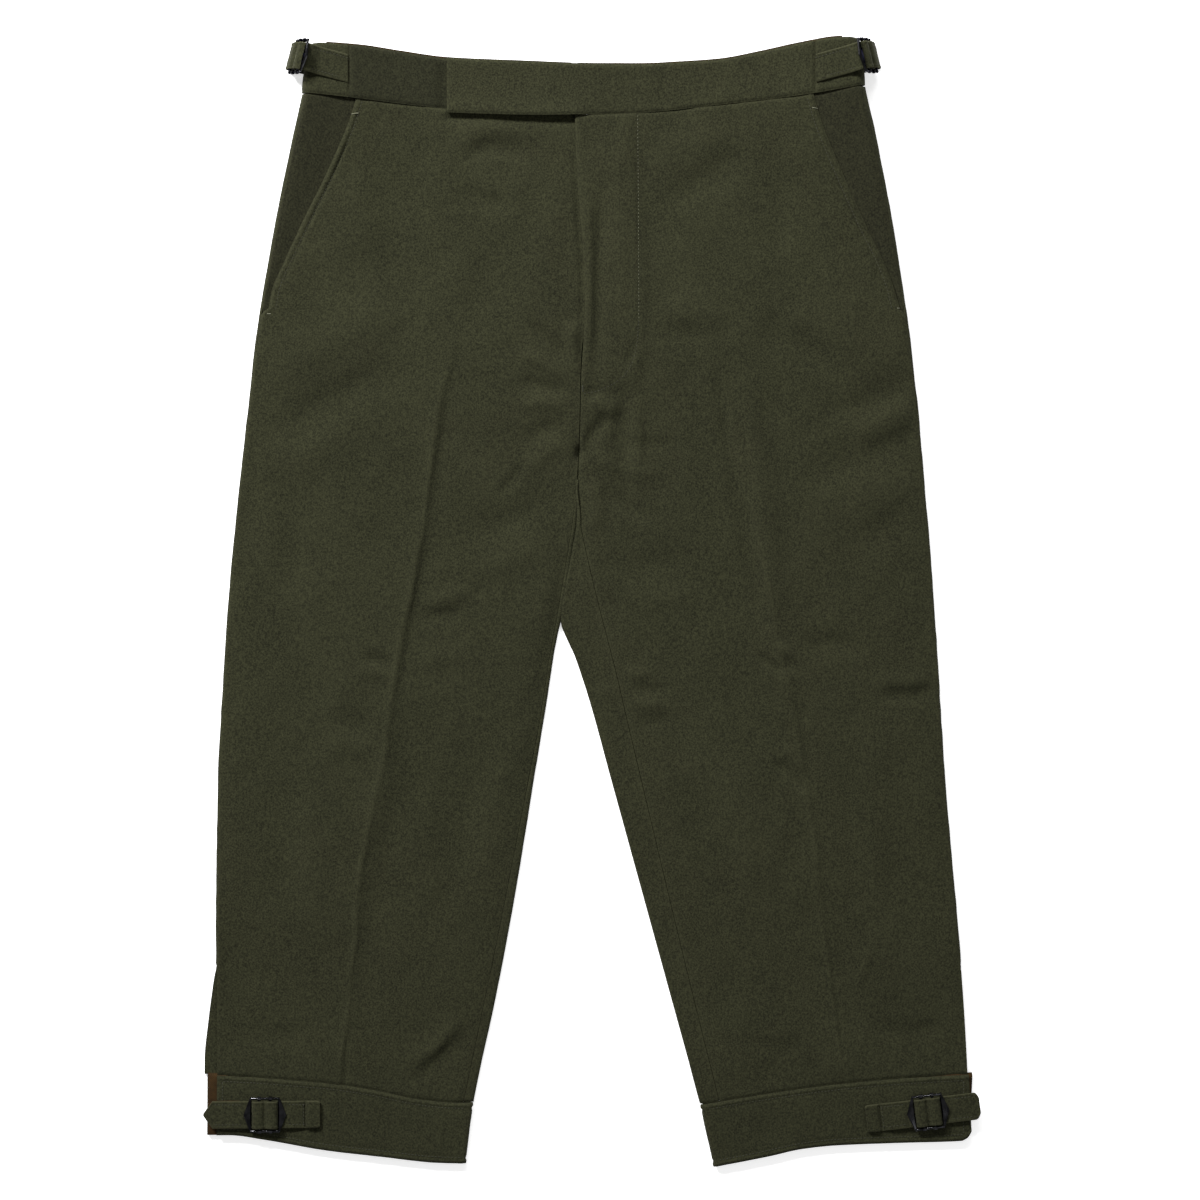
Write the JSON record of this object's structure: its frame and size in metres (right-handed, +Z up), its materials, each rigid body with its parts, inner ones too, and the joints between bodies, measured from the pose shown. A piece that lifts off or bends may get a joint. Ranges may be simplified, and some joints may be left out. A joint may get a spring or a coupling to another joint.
{
  "type": "knee breeches",
  "caption": "Knee breeches laid flat, with tabbed waistband, side adjusters, slant pockets, pressed creases and strapped knee bands.",
  "frame": {"origin": "middle of the flat-laid outline, on the surface that the breeches rest on", "axes": "+X towards the wearer's left leg, +Y towards the waist, +Z up, out of the front"},
  "size_m": [0.583, 0.847, 0.0297],
  "materials": {
    "moleskin": "dark olive brushed cotton moleskin, short matt nap",
    "tan_cotton": "tan cotton twill lining",
    "gunmetal": "dark gunmetal plating, half gloss"
  },
  "bodies": {
    "root": {"front_right": "moleskin", "front_left": "moleskin", "back_right": "moleskin", "back_left": "moleskin", "pocket_facing_right": "moleskin", "pocket_facing_left": "moleskin", "waistband_front_right": "moleskin", "waistband_front_left": "moleskin", "waistband_back_right": "moleskin", "waistband_back_left": "moleskin", "waistband_lining_right": "tan_cotton", "waistband_lining_left": "tan_cotton", "waist_strap_front_right": "moleskin", "waist_strap_front_left": "moleskin", "waist_strap_back_right": "moleskin", "waist_strap_back_left": "moleskin", "waist_buckle_right": "gunmetal", "waist_buckle_left": "gunmetal", "knee_band_right": "moleskin", "knee_band_left": "moleskin", "knee_band_lining_right": "tan_cotton", "knee_band_lining_left": "tan_cotton", "knee_strap_right": "moleskin", "knee_strap_left": "moleskin", "knee_buckle_right": "gunmetal", "knee_buckle_left": "gunmetal"}
  },
  "joints": []
}
